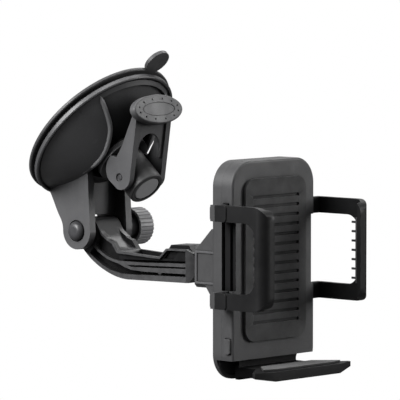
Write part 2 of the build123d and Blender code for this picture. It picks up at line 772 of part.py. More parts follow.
with BuildPart() as back_shell:
    with BuildSketch(Plane.XZ.offset(-cradle_back)):
        with Locations((0, cradle_z)):
            RectangleRounded(2 * cradle_half, cradle_height, cradle_corner)
    extrude(amount=cradle_back - split_y)
    fillet(back_shell.faces().sort_by(Axis.Y)[-1].edges(), 1.2)
    with BuildSketch(Plane.XZ.offset(-cradle_back + floor)):
        with Locations((0, cradle_z)):
            RectangleRounded(2 * (cradle_half - wall), cradle_height - 2 * wall, cradle_corner - wall)
    extrude(amount=10.0, mode=Mode.SUBTRACT)
    # bosses for the case screws and the pinion's pin, and a post for the pawl
    with BuildSketch(Plane.XZ.offset(-cradle_back + floor - 0.1)):
        with Locations(*screw_places):
            Circle(boss_radius)
    extrude(amount=cradle_back - split_y - floor + 0.1)
    with BuildSketch(Plane.XZ.offset(-cradle_back + floor - 0.1)):
        with Locations((0, gear_z)):
            Circle(3.4)
        with Locations((pawl_x, pawl_z)):
            Circle(2.4)
    extrude(amount=cradle_back - gear_rear - floor)
    # open well behind the foot's bracket
    with BuildSketch(Plane.XY.offset(cradle_bottom - 1)):
        with Locations((0, -106.2)):
            Rectangle(2 * cradle_half + 2, 12.0)
    extrude(amount=front_shell_bottom - cradle_bottom + 1, mode=Mode.SUBTRACT)
    # holes
    with BuildSketch(Plane.XZ.offset(-cradle_back - 1)):
        with Locations(*screw_places):
            Circle(1.25)
    extrude(amount=20.0, mode=Mode.SUBTRACT)
    with BuildSketch(Plane.XZ.offset(-cradle_back - 1)):
        with Locations(*screw_places):
            Circle(2.5)
    extrude(amount=3.2, mode=Mode.SUBTRACT)
    with BuildSketch(Plane.XZ.offset(-cradle_back - 1)):
        with GridLocations(hub_screw_x * 2, 0, 2, 1):
            with Locations((0, hub_screw_z[0]), (0, hub_screw_z[1])):
                Circle(1.02)
    extrude(amount=10.0, mode=Mode.SUBTRACT)
    with BuildSketch(Plane.XZ.offset(-cradle_back + floor)):
        with Locations((0, gear_z)):
            Circle(1.51)
        with Locations((pawl_x, pawl_z)):
            Circle(1.01)
    extrude(amount=12.0, mode=Mode.SUBTRACT)
finish(back_shell, "back_shell")

with BuildPart() as front_shell:
    with BuildSketch(Plane.XZ.offset(-split_y + 0.05)):
        with Locations((0, cradle_z)):
            RectangleRounded(2 * cradle_half, cradle_height, cradle_corner)
    extrude(amount=split_y - cradle_front - 0.05)
    fillet(front_shell.faces().sort_by(Axis.Y)[0].edges(), 1.2)
    with BuildSketch(Plane.XZ.offset(-split_y)):
        with Locations((0, cradle_z)):
            RectangleRounded(2 * (cradle_half - wall), cradle_height - 2 * wall, cradle_corner - wall)
    extrude(amount=split_y - cradle_front - floor, mode=Mode.SUBTRACT)
    # square lower end, closed by a wall
    with BuildSketch(Plane.XY.offset(cradle_bottom - 1)):
        with Locations((0, -107.0)):
            Rectangle(2 * cradle_half + 2, 12.0)
    extrude(amount=front_shell_bottom - cradle_bottom + 1, mode=Mode.SUBTRACT)
    with BuildSketch(Plane.XY.offset(front_shell_bottom)):
        with Locations((0, (split_y - 0.05 + cradle_front + 1.0) / 2)):
            Rectangle(2 * cradle_half - 1.0, split_y - 0.05 - cradle_front - 1.0)
    extrude(amount=wall)
    # slots in both sides for the jaws
    with BuildSketch(Plane.YZ.offset(-cradle_half - 1)):
        with Locations((jaw_rear - leg_thick / 2, gear_z)):
            Rectangle(leg_thick + 0.6, jaw_top - jaw_bottom + 2 * slot_clear)
    extrude(amount=2 * cradle_half + 2, mode=Mode.SUBTRACT)
    # open notch in each side, between the jaw's bars
    with BuildSketch(Plane.XZ.offset(-split_y)):
        for side in (-1, 1):
            with Locations((side * (notch_in + 5.0), gear_z)):
                Rectangle(10.0, jaw_top - jaw_bottom - 2 * jaw_bar)
    extrude(amount=split_y - cradle_front + 1, mode=Mode.SUBTRACT)
    # button slot on the left side
    with BuildSketch(Plane.YZ.offset(-cradle_half - 1)):
        with Locations((button_y, button_z)):
            Rectangle(3.6, 7.4)
    extrude(amount=6.2, mode=Mode.SUBTRACT)
    # screw bosses
    with BuildSketch(Plane.XZ.offset(-split_y + 0.05)):
        with Locations(*screw_places):
            Circle(boss_radius)
            Circle(1.02, mode=Mode.SUBTRACT)
    extrude(amount=split_y - cradle_front - 1.0)
    with BuildSketch(Plane.XZ.offset(-gear_front)):
        with Locations((0, gear_z)):
            Circle(2.6)
        with Locations((pawl_x, pawl_z)):
            Circle(2.2)
    extrude(amount=0.6)
    with BuildSketch(Plane.XZ.offset(-gear_front)):
        with Locations((0, gear_z)):
            Circle(1.52)
        with Locations((pawl_x, pawl_z)):
            Circle(1.02)
    extrude(amount=1.4, mode=Mode.SUBTRACT)
finish(front_shell, "front_shell")

with BuildPart() as front_pad:
    with BuildSketch(Plane.XZ.offset(-cradle_front + 0.02)):
        with Locations((0, -55.5)):
            RectangleRounded(42.0, 74.0, 6.0)
            with GridLocations(0, 4.4, 1, 14):
                SlotOverall(32.0, 1.5, mode=Mode.SUBTRACT)
    extrude(amount=1.4)
    with BuildSketch(Plane.XZ.offset(-cradle_front + 0.02)):
        with Locations((0, -55.5)):
            RectangleRounded(41.0, 73.0, 6.0)
    extrude(amount=0.7)
finish(front_pad, "front_pad")

with BuildPart() as case_screws:
    for x, z in screw_places:
        with BuildSketch(Plane.XZ.offset(-cradle_back + 0.6)):
            with Locations((x, z)):
                Circle(2.3)
        extrude(amount=1.55)
        with BuildSketch(Plane.XZ.offset(-cradle_back + 0.6)):
            with Locations((x, z)):
                Circle(1.0)
        extrude(amount=9.5)
finish(case_screws, "case_screws")

# ---------------------------------------------------------------- gear, pins and pawl
pitch = pi * gear_module
pitch_radius = gear_module * gear_teeth / 2
pressure = radians(pressure_angle)
base_radius = pitch_radius * cos(pressure)
tip_radius = pitch_radius + 0.9
root_radius = pitch_radius - 1.2
rack_addendum = 0.9
rack_dedendum = 1.2


def half_tooth(radius):
    """Half of a tooth's angle at a radius, from the involute of the base circle."""
    roll = acos(min(1.0, base_radius / radius))
    at_pitch = pi / (2 * gear_teeth) - backlash / (4 * pitch_radius)
    return at_pitch + (tan(pressure) - pressure) - (tan(roll) - roll)


with BuildPart() as pinion:
    with BuildSketch(Plane(origin=(0, gear_rear, gear_z), x_dir=(1, 0, 0), z_dir=(0, -1, 0))):
        Circle(root_radius)
        with BuildSketch(mode=Mode.PRIVATE) as tooth:
            radii = [base_radius + (tip_radius - base_radius) * step / 6 for step in range(7)]
            left = [(-r * sin(half_tooth(r)), r * cos(half_tooth(r))) for r in radii]
            right = [(-x, y) for x, y in reversed(left)]
            foot_angle = half_tooth(base_radius)
            low = root_radius - 0.3
            Polygon(
                (-low * sin(foot_angle), low * cos(foot_angle)),
                *left,
                *right,
                (low * sin(foot_angle), low * cos(foot_angle)),
                align=None,
            )
        with PolarLocations(0, gear_teeth):
            add(tooth.sketch)
        Circle(1.55, mode=Mode.SUBTRACT)
    extrude(amount=gear_rear - gear_front)
finish(pinion, "pinion")

with BuildPart() as pinion_pin:
    with BuildSketch(Plane.XZ.offset(-cradle_back + floor + 0.1)):
        with Locations((0, gear_z)):
            Circle(1.5)
    extrude(amount=cradle_back - floor - gear_front + 1.2)
finish(pinion_pin, "pinion_pin")

with BuildPart() as pawl_pin:
    with BuildSketch(Plane.XZ.offset(-cradle_back + floor + 0.1)):
        with Locations((pawl_x, pawl_z)):
            Circle(1.0)
    extrude(amount=cradle_back - floor - gear_front + 1.2)
finish(pawl_pin, "pawl_pin")

rack_bar = 5.0
rack_edge = gear_z - pitch_radius - rack_dedendum - rack_bar
with BuildPart() as pawl:
    with BuildSketch(Plane.XZ.offset(-gear_rear + 0.1)):
        Polygon((pawl_x - 1.3, button_z - 1.6), (pawl_x + 1.3, button_z - 1.6), (pawl_x + 1.8, pawl_z),
                (pawl_x - 1.6, -70.0), (pawl_x - 3.0, rack_edge - 0.35), (pawl_x - 4.2, rack_edge - 1.5),
                (pawl_x - 1.8, pawl_z), align=None)
        with Locations((pawl_x, pawl_z)):
            Circle(2.3)
            Circle(1.05, mode=Mode.SUBTRACT)
    extrude(amount=gear_rear - gear_front - 0.2)
finish(pawl, "pawl")

# ---------------------------------------------------------------- racks and jaws
bar_centre = (jaw_top - jaw_bar / 2, jaw_bottom + jaw_bar / 2)
window_top = jaw_top - jaw_bar
window_low = jaw_bottom + jaw_bar


def rack_outline(side):
    """Corners of the rack above the pinion for side -1 and below it for side 1."""
    up = -side
    tooth_line = gear_z + up * pitch_radius
    tip = tooth_line - up * rack_addendum
    root = tooth_line + up * rack_dedendum
    edge = root + up * rack_bar
    free_end = -side * rack_reach
    web = side * web_in
    half_tip = pitch / 4 - rack_addendum * tan(pressure) - backlash / 4
    half_root = pitch / 4 + rack_dedendum * tan(pressure) - backlash / 4
    points = [(web, edge), (web, root)]
    for step in range(-5, 4):
        centre = -side * (step + 0.5) * pitch
        points += [
            (centre + side * half_root, root),
            (centre + side * half_tip, tip),
            (centre - side * half_tip, tip),
            (centre - side * half_root, root),
        ]
    points += [(free_end, root), (free_end, edge)]
    return points


ratchet = 1.6
grip_teeth = 7
grip_pitch = 4.3
for side, name in ((-1, "left"), (1, "right")):
    with BuildPart() as rack:
        with BuildSketch(Plane.XZ.offset(-gear_rear)):
            with BuildLine():
                Polyline(*rack_outline(side), close=True)
            make_face()
            if side > 0:
                for step in range(-8, 5):
                    with BuildLine():
                        x = step * ratchet
                        Polyline((x, rack_edge - 0.1), (x + ratchet, rack_edge - 0.1), (x, rack_edge + 0.8),
                                 close=True)
                    make_face(mode=Mode.SUBTRACT)
        extrude(amount=gear_rear - gear_front)
    finish(rack, f"{name}_rack")

    outer = side * jaw_outer
    inner = side * (jaw_outer - jaw_thick)
    arc_share = 1 - sqrt(0.5)
    with BuildPart() as jaw:
        # plate seen from above: two bars' side wall, the bend and the lip
        with BuildSketch(Plane.XY.offset(jaw_bottom)):
            with BuildLine():
                Line((outer, jaw_rear), (outer, jaw_front + jaw_bend))
                ThreePointArc(
                    (outer, jaw_front + jaw_bend),
                    (side * (jaw_outer - jaw_bend * arc_share), jaw_front + jaw_bend * arc_share),
                    (side * (jaw_outer - jaw_bend), jaw_front),
                )
                Polyline(
                    (side * (jaw_outer - jaw_bend), jaw_front),
                    (side * jaw_lip, jaw_front),
                    (side * jaw_lip, jaw_front + 2.2),
                    (side * (jaw_outer - jaw_thick - 1.6), jaw_front + jaw_thick),
                    (inner, jaw_front + jaw_bend),
                    (inner, jaw_rear - leg_thick),
                    (side * web_in, jaw_rear - leg_thick),
                    (side * web_in, jaw_rear),
                    (outer, jaw_rear),
                )
            make_face()
        extrude(amount=jaw_top - jaw_bottom)
        # its front corners are round, seen from the side and from the front
        for z, up in ((jaw_top, 1), (jaw_bottom, -1)):
            with BuildSketch(Plane.YZ.offset(side * (jaw_lip - 1.0))):
                with Locations((jaw_front + jaw_round / 2, z - up * jaw_round / 2)):
                    Rectangle(jaw_round, jaw_round)
                with Locations((jaw_front + jaw_round, z - up * jaw_round)):
                    Circle(jaw_round, mode=Mode.SUBTRACT)
            extrude(amount=side * 10.0, mode=Mode.SUBTRACT)
        # window between the bars, round at its front corners
        with BuildSketch(Plane.YZ.offset(side * (web_out + 0.01))):
            with Locations((window_front + 20.0, gear_z)):
                Rectangle(40.0, window_top - window_low)
            fillet(
                [v for v in vertices() if v.X < window_front + 1],
                window_round,
            )
        extrude(amount=side * 12.0, mode=Mode.SUBTRACT)
        # collars at the roots of the bars
        for z in bar_centre:
            with BuildSketch(Plane.YZ.offset(side * (jaw_outer - 0.1))):
                with Locations((jaw_rear - 4.9, z)):
                    RectangleRounded(9.6, jaw_bar, 1.6)
            extrude(amount=side * 0.55)
    finish(jaw, f"{name}_jaw")

    # rubber grip: a strip on the inside of the bend, with teeth that reach into the window
    with BuildPart() as grip:
        with BuildSketch(Plane.XY.offset(window_low + 1.0)):
            Polygon((inner - side * 0.08, jaw_front + jaw_bend + 0.05),
                    (inner - side * 1.65, jaw_front + 2.9),
                    (inner - side * 2.8, jaw_front + 3.7), (inner - side * 1.5, window_front + 0.3),
                    (inner - side * 0.08, window_front + 0.3), align=None)
        extrude(amount=window_top - window_low - 2.0)
        for step in range(grip_teeth):
            z = gear_z + (step - (grip_teeth - 1) / 2) * grip_pitch
            with BuildSketch(Plane.XY.offset(z - 0.5)):
                Polygon((inner - side * 0.2, window_front - 0.1), (inner - side * 1.3, window_front - 0.1),
                        (inner - side * 0.9, window_front + 3.1), (inner - side * 0.2, window_front + 3.1),
                        align=None)
            extrude(amount=1.0)
    finish(grip, f"{name}_grip")

# ---------------------------------------------------------------- release button
with BuildPart() as release_button:
    with BuildSketch(Plane.YZ.offset(-cradle_half - 1.2)):
        with Locations((button_y, button_z)):
            RectangleRounded(3.2, 7.0, 0.8)
    extrude(amount=4.2)
    with BuildSketch(Plane.YZ.offset(-cradle_half + 3.0)):
        with Locations((stem_y, button_z)):
            Rectangle(3.2, 8.6)
    extrude(amount=1.4)
    with BuildSketch(Plane.YZ.offset(-cradle_half + 4.4)):
        with Locations((stem_y, button_z)):
            Circle(1.1)
    extrude(amount=cradle_half - 4.4 + pawl_x - 1.3 - 0.3)
finish(release_button, "release_button")

with BuildPart() as button_spring:
    start = -cradle_half + 4.6
    for step in range(4):
        with BuildSketch(Plane(origin=(start + 0.4 + 1.35 * step, stem_y, button_z), x_dir=(0, 1, 0),
                               z_dir=(0, 0, 1))):
            with Locations((1.65, 0)):
                Circle(0.26)
        revolve(axis=Axis((start + 0.4 + 1.35 * step, stem_y, button_z), (1, 0, 0)))
finish(button_spring, "button_spring")

# ---------------------------------------------------------------- foot
foot_top = -104.2
foot_low = -108.7
foot_front = -131.0
foot_wing = 33.4
wing_root = 22.5
wing_rise = 2.1
bracket_half = 20.0
with BuildPart() as foot:
    # shelf with tapered ends
    with BuildSketch(Plane.XY.offset(foot_low)):
        with BuildLine():
            Polyline((-wing_root, foot_front), (wing_root, foot_front), (foot_wing, -128.0),
                     (foot_wing, -126.4))
            Polyline((foot_wing, -126.4), (bracket_half, -116.5), (bracket_half, -104.2),
                     (-bracket_half, -104.2))
            Polyline((-bracket_half, -104.2), (-bracket_half, -116.5), (-foot_wing, -126.4))
            Polyline((-foot_wing, -126.4), (-foot_wing, -128.0), (-wing_root, foot_front))
        make_face()
    extrude(amount=foot_top - foot_low)
    # the undersides of both wings rise towards their tips
    for side in (-1, 1):
        with BuildSketch(Plane.XZ.offset(100)):
            Polygon((side * wing_root, foot_low), (side * (foot_wing + 1), foot_low + wing_rise * 1.1),
                    (side * (foot_wing + 1), foot_low - 1), (side * wing_root, foot_low - 1), align=None)
        extrude(amount=40, mode=Mode.SUBTRACT)
    # hollow under the shelf, with a rim left all round
    with BuildSketch(Plane.XY.offset(foot_low - 1)):
        with Locations((0, -119.0)):
            Rectangle(2 * bracket_half - 5.0, 18.0)
    extrude(amount=3.0, mode=Mode.SUBTRACT)
    # upright behind the shelf
    with BuildSketch(Plane.XY.offset(cradle_bottom + 0.2)):
        with Locations((0, -105.3)):
            Rectangle(2 * bracket_half, 2.2)
    extrude(amount=front_shell_bottom - cradle_bottom - 0.7)
    # tongue that slides in the cradle, and the block that joins it to the upright
    with BuildSketch(Plane.XY.offset(cradle_bottom + 0.2)):
        with Locations((0, -101.8)):
            Rectangle(18.0, 2.6)
    extrude(amount=24.0)
    with BuildSketch(Plane.XY.offset(cradle_bottom + 0.2)):
        with Locations((0, -103.4)):
            Rectangle(18.0, 2.4)
    extrude(amount=front_shell_bottom - cradle_bottom - 0.9)
finish(foot, "foot")

with BuildPart() as foot_pad:
    with BuildSketch(Plane.XY.offset(foot_top + 0.02)):
        with BuildLine():
            Polyline((-20.0, -129.4), (20.0, -129.4), (27.0, -127.2), (17.5, -117.4), (-17.5, -117.4),
                     (-27.0, -127.2), close=True)
        make_face()
    extrude(amount=1.0)
finish(foot_pad, "foot_pad")
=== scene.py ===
import json
from math import cos, pi, radians, sin

import bmesh
import bpy
from mathutils import Matrix, Vector


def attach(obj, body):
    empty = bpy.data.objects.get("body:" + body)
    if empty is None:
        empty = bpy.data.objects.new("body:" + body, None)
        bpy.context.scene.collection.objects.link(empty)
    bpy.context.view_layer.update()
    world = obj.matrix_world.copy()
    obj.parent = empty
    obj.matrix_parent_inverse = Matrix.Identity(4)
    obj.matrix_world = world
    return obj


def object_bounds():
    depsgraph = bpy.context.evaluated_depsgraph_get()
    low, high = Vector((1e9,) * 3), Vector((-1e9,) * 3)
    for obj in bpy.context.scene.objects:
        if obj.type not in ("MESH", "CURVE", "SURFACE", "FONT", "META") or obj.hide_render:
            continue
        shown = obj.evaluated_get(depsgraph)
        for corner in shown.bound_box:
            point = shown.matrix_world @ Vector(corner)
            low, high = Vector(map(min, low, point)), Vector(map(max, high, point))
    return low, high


# A windscreen phone mount, dressed for rendering.  Lengths are in metres, in the CAD model's frame.
MM = 0.001

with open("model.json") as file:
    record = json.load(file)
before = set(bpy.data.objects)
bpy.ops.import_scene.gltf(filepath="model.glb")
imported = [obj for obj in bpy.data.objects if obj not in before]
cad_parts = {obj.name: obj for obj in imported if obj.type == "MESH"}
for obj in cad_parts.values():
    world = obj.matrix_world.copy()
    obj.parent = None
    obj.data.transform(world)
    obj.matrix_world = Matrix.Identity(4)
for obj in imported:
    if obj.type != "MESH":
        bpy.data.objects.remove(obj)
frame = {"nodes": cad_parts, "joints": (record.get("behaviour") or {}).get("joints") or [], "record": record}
cad_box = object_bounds()
nodes = frame["nodes"]
record = frame["record"]
joints = {joint["name"]: joint for joint in frame["joints"]}
scene = bpy.context.scene

cup_axis = -Vector(joints["stem_slide"]["axis"]).normalized()      # out from the glass
across = Vector((1, 0, 0))
up_slope = cup_axis.cross(across).normalized()                      # up the glass


# ---------------------------------------------------------------- camera
view_azimuth = radians(-48.0)
view_elevation = radians(4.2)
view_distance = 1.852
view_target = Vector((-0.0024, -0.0668, -0.0309))
toward_camera = Vector((
    sin(view_azimuth) * cos(view_elevation),
    -cos(view_azimuth) * cos(view_elevation),
    sin(view_elevation),
))

camera_data = bpy.data.cameras.new("camera")
camera_data.lens = 360.0
camera_data.sensor_width = 36.0
camera = bpy.data.objects.new("camera", camera_data)
camera.location = view_target + toward_camera * view_distance
camera.rotation_mode = "QUATERNION"
camera.rotation_quaternion = (-toward_camera).to_track_quat("-Z", "Y")
camera_data.clip_start = 0.05
camera_data.clip_end = 200.0
scene.collection.objects.link(camera)
scene.camera = camera


# ---------------------------------------------------------------- material helpers
class Nodes:
    """A material under construction: its node tree and short ways to add to it."""

    def __init__(self, name):
        self.material = bpy.data.materials.new(name)
        self.material.use_nodes = True
        self.tree = self.material.node_tree
        self.shader = self.tree.nodes["Principled BSDF"]
        self.place = self.add("ShaderNodeTexCoord").outputs["Object"]

    def add(self, kind, **settings):
        node = self.tree.nodes.new(kind)
        for key, value in settings.items():
            setattr(node, key, value)
        return node

    def link(self, output, target):
        self.tree.links.new(output, target)

    def noise(self, scale, detail=2.0, stretch=(1, 1, 1)):
        """Noise in object space; scale is in cells per metre."""
        mapping = self.add("ShaderNodeMapping")
        mapping.inputs["Scale"].default_value = stretch
        self.link(self.place, mapping.inputs["Vector"])
        node = self.add("ShaderNodeTexNoise")
        node.inputs["Scale"].default_value = scale
        node.inputs["Detail"].default_value = detail
        self.link(mapping.outputs["Vector"], node.inputs["Vector"])
        return node.outputs["Fac"]

    def spread(self, value, low, high, start=0.3, end=0.7):
        """Maps a 0 to 1 value onto low to high."""
        node = self.add("ShaderNodeMapRange")
        node.inputs["From Min"].default_value = start
        node.inputs["From Max"].default_value = end
        node.inputs["To Min"].default_value = low
        node.inputs["To Max"].default_value = high
        self.link(value, node.inputs["Value"])
        return node.outputs["Result"]

    def mix(self, factor, first, second):
        """Mixes two colours; each is a colour or another node's output."""
        node = self.add("ShaderNodeMix", data_type="RGBA")
        self.link(factor, node.inputs["Factor"])
        for socket, colour in (("A", first), ("B", second)):
            target = [i for i in node.inputs if i.name == socket and i.type == "RGBA"][0]
            if isinstance(colour, tuple):
                target.default_value = (*colour, 1)
            else:
                self.link(colour, target)
        return [o for o in node.outputs if o.type == "RGBA"][0]

    def math(self, operation, first, second):
        node = self.add("ShaderNodeMath", operation=operation)
        for socket, value in zip(node.inputs, (first, second)):
            if isinstance(value, (int, float)):
                socket.default_value = value
            else:
                self.link(value, socket)
        return node.outputs["Value"]

    def bump(self, height, depth, strength=1.0, under=None):
        node = self.add("ShaderNodeBump")
        node.inputs["Strength"].default_value = strength
        node.inputs["Distance"].default_value = depth
        self.link(height, node.inputs["Height"])
        if under is not None:
            self.link(under, node.inputs["Normal"])
        return node.outputs["Normal"]

    def occlusion_shade(self, reach=0.007, floor=0.2):
        """Painted shade from ambient occlusion: 1 in the open, falling to floor in crevices and between close
        parts.
        """
        node = self.add("ShaderNodeAmbientOcclusion", samples=8)
        node.inputs["Distance"].default_value = reach
        return self.spread(node.outputs["AO"], floor, 1.0, 0.2, 0.95)

    def recess_shade_mask(self, limit):
        """Where painted shade goes in recesses: 1 on faces that look sideways and lie nearer the middle plane
        than limit.
        """
        place = self.add("ShaderNodeSeparateXYZ")
        self.link(self.place, place.inputs["Vector"])
        facing = self.add("ShaderNodeSeparateXYZ")
        self.link(self.add("ShaderNodeNewGeometry").outputs["True Normal"], facing.inputs["Vector"])
        inside = self.math("LESS_THAN", self.math("ABSOLUTE", place.outputs["X"], 0.0), limit)
        sideways = self.math("GREATER_THAN", self.math("ABSOLUTE", facing.outputs["X"], 0.0), 0.9)
        return self.math("MULTIPLY", inside, sideways)

    def vector_math(self, operation, first, second, result):
        node = self.add("ShaderNodeVectorMath", operation=operation)
        for socket, value in zip(node.inputs, (first, second)):
            if isinstance(value, tuple):
                socket.default_value = value
            else:
                self.link(value, socket)
        return node.outputs[result]

    def channel_shadow_mask(self):
        """Where painted shadow falls: 1 on the floor of the dome's channel, fading towards the top of the
        rim.
        """
        height = self.vector_math("DOT_PRODUCT", self.place, tuple(cup_axis), "Value")
        scaled = self.add("ShaderNodeVectorMath", operation="SCALE")
        scaled.inputs[0].default_value = cup_axis
        self.link(height, scaled.inputs["Scale"])
        flat = self.vector_math("SUBTRACT", self.place, scaled.outputs["Vector"], "Vector")
        radius = self.vector_math("LENGTH", flat, (0.0, 0.0, 0.0), "Value")
        floor_line = self.math("MULTIPLY", self.math("SUBTRACT", radius, channel_radius), -channel_fall)
        low = self.math("LESS_THAN", height, self.math("ADD", floor_line, channel_height))
        near = self.math("LESS_THAN", radius, channel_reach)
        rise = self.vector_math("DOT_PRODUCT", self.place, tuple(up_slope), "Value")
        fade = self.spread(rise, 1.0, 0.0, *channel_shadow_fade)
        return self.math("MULTIPLY", self.math("MULTIPLY", low, near), fade)

    def behind(self, limit):
        """1 on the side of the limit that faces the glass."""
        place = self.add("ShaderNodeSeparateXYZ")
        self.link(self.place, place.inputs["Vector"])
        return self.math("GREATER_THAN", place.outputs["Y"], limit)

    def finish(self, colour, specular, recess=None, reach=0.007, channel=False):
        """Sets base colour and specular, both darkened by painted shade near close surfaces and in recesses.
        """
        # painted shade: colour and specular darkened by ambient occlusion near close parts
        shade_factor = self.occlusion_shade(reach)
        # painted shadow over the dome's channel
        if channel:
            shade_factor = self.math("MULTIPLY", shade_factor, self.math("SUBTRACT", 1.0, self.channel_shadow_mask()))
        # painted shade on side faces in a recess, in colour and specular
        if recess is not None:
            closed = self.math("MULTIPLY", self.recess_shade_mask(recess), recess_shade_depth)
            shade_factor = self.math("MULTIPLY", shade_factor, self.math("SUBTRACT", 1.0, closed))
        self.link(self.mix(shade_factor, painted_shade_colour, colour), self.shader.inputs["Base Color"])
        self.shader.inputs["Specular IOR Level"].default_value = specular
        self.link(self.math("MULTIPLY", shade_factor, specular), self.shader.inputs["Specular IOR Level"])

    def edge_mask(self, start=0.505, end=0.56):
        """1 along convex edges, 0 on flat ground."""
        geometry = self.add("ShaderNodeNewGeometry")
        return self.spread(geometry.outputs["Pointiness"], 0.0, 1.0, start, end)


# the colour that painted shade darkens towards in crevices, recesses and the dome's channel
painted_shade_colour = (0.0015, 0.0015, 0.0016)
dust_colour = (0.1, 0.098, 0.094)
recess_shade_depth = 0.8              # how much of the light is taken from side faces in a recess
collar_front = -107.6 * MM
# the dome's channel, where painted shadow darkens the housing plastic
channel_radius = 26.2 * MM      # here the channel's floor is just under channel_height
channel_height = 11.0 * MM
channel_fall = 0.64             # and it falls by this much per unit of radius
channel_reach = 33.6 * MM
channel_shadow_fade = (10.0 * MM, 26.0 * MM)


def shade(colour, factor):
    """The colour made lighter or darker by a factor."""
    return tuple(min(1.0, channel * factor) for channel in colour)


def plastic(name, colour, roughness, grain, grain_depth, wear=0.3, coat=0.0, dust=0.2, specular=0.36,
            recess=None, reach=0.007, rear=None, channel=False):
    """Injection-moulded plastic: eroded grain, cloudy tone, scuffed edges, a little dust and painted shade in
    crevices.

    recess is the half width inside which painted shade darkens side faces, reach is how far the painted shade
    of close parts goes, rear is a second colour behind the jaws' collars, and channel paints shadow over the
    dome's channel.
    """
    n = Nodes(name)
    cloud = n.spread(n.noise(55.0, 4.0), 0.0, 1.0)
    fine = n.noise(1.0 / grain, 3.0)
    tone = n.mix(cloud, shade(colour, 0.88), shade(colour, 1.14))
    speck = n.mix(n.spread(fine, 0.0, 0.35, 0.35, 0.7), tone, shade(colour, 1.5))
    scuffs = n.math("MULTIPLY", n.edge_mask(), n.spread(n.noise(380.0, 5.0), 0.0, wear))
    worn = n.mix(scuffs, speck, shade(colour, 2.2))
    if rear is not None:
        worn = n.mix(n.behind(collar_front), worn, rear)
    top = n.add("ShaderNodeNewGeometry").outputs["Normal"]
    split = n.add("ShaderNodeSeparateXYZ")
    n.link(top, split.inputs["Vector"])
    facing_up = n.spread(split.outputs["Z"], 0.0, dust, 0.6, 1.0)
    settled = n.math("MULTIPLY", facing_up, n.spread(n.noise(220.0, 6.0), 0.0, 1.0, 0.45, 0.75))
    n.finish(n.mix(settled, worn, dust_colour), specular, recess, reach, channel)
    n.link(n.spread(n.noise(140.0, 3.0), roughness - 0.05, roughness + 0.07), n.shader.inputs["Roughness"])
    n.link(n.bump(fine, grain_depth, 1.0), n.shader.inputs["Normal"])
    n.shader.inputs["Coat Weight"].default_value = coat
    n.shader.inputs["Coat Roughness"].default_value = 0.12
    return n.material


def rubber(name, colour, roughness, grain, sheen=0.2):
    """Soft rubber: a matt skin with a faint bloom, slow waves and painted shade in crevices."""
    n = Nodes(name)
    bloom = n.spread(n.noise(90.0, 5.0), 0.0, 1.0, 0.4, 0.75)
    fine = n.noise(1.0 / grain, 2.0)
    n.finish(n.mix(bloom, colour, shade(colour, 1.7)), 0.3)
    n.link(n.spread(n.noise(160.0, 3.0), roughness - 0.08, roughness + 0.1), n.shader.inputs["Roughness"])
    waves = n.bump(n.noise(35.0, 1.0), 0.0002, 0.4)
    n.link(n.bump(fine, 0.00004, 1.0, waves), n.shader.inputs["Normal"])
    n.shader.inputs["Sheen Weight"].default_value = sheen
    n.shader.inputs["Sheen Roughness"].default_value = 0.5
    return n.material


def metal(name, colour, roughness, stretch, dark=0.7):
    """Turned or drawn metal: fine streaks along one way and a slightly dulled tone."""
    n = Nodes(name)
    streaks = n.noise(2600.0, 3.0, stretch)
    n.link(n.mix(n.spread(n.noise(300.0, 4.0), 0.0, 1.0), shade(colour, dark), colour),
           n.shader.inputs["Base Color"])
    n.link(n.spread(streaks, roughness - 0.08, roughness + 0.12), n.shader.inputs["Roughness"])
    n.link(n.bump(streaks, 0.00001, 0.6), n.shader.inputs["Normal"])
    n.shader.inputs["Metallic"].default_value = 1.0
    return n.material


fine_grain = 0.30 * MM
coarse_grain = 0.34 * MM
smooth_grain = 0.6 * MM
polished = 0.000006             # depths of the grain, in metres
satin = 0.000012
matte = 0.00002
rough = 0.00003

looks = {
    "satin_plastic": plastic("satin_plastic", (0.042, 0.042, 0.044), 0.4, fine_grain, satin, coat=0.05),
    "matte_plastic_dark": plastic("matte_plastic_dark", (0.028, 0.028, 0.029), 0.5, coarse_grain, rough),
    "gloss_plastic_black": plastic("gloss_plastic_black", (0.012, 0.012, 0.013), 0.34, smooth_grain, polished,
                                   wear=0.5, coat=0.08, dust=0.08),
    "washer_nylon": plastic("washer_nylon", (0.50, 0.49, 0.46), 0.42, 0.4 * MM, 0.00001, wear=0.1, dust=0.1),
    "cup_rubber": rubber("cup_rubber", (0.028, 0.028, 0.029), 0.5, 0.35 * MM, 0.1),
    "grip_rubber": rubber("grip_rubber", (0.012, 0.012, 0.0125), 0.66, 0.3 * MM, 0.1),
    "steel": metal("steel", (0.62, 0.62, 0.64), 0.3, (0.2, 1, 1)),
    "black_steel": plastic("black_steel", (0.03, 0.03, 0.032), 0.42, 0.5 * MM, polished, coat=0.05),
    "spring_steel": metal("spring_steel", (0.5, 0.5, 0.52), 0.32, (1, 0.3, 1)),
}
slot_of = {part["node"]: part["material_slot"] for part in record["subparts"]}

# finishes that differ from the slot's usual one; the darker copies carry painted shade and the bead's lighter
# copy painted light
paler = plastic("paler_plastic", (0.046, 0.046, 0.048), 0.46, coarse_grain, rough)
# shaded copies of the dark matte plastic: painted shade on the jaws and the foot, and recess adds painted
# shade on their inner side faces
darker = plastic("shaded_jaw_plastic", (0.006, 0.006, 0.0063), 0.42, coarse_grain, matte, wear=0.4, dust=0.04,
                 specular=0.14, recess=28.0 * MM, rear=(0.044, 0.044, 0.045))
darkest = plastic("deep_shaded_plastic", (0.005, 0.005, 0.0053), 0.44, coarse_grain, matte, wear=0.4, dust=0.04,
                  specular=0.12, recess=28.0 * MM)
# channel paints shadow over the dome's channel, and the long reach spreads painted shade wider
housing = plastic("housing_plastic", (0.052, 0.052, 0.054), 0.44, fine_grain, polished, wear=0.15, coat=0.05,
                  dust=0.06, reach=0.022, channel=True)
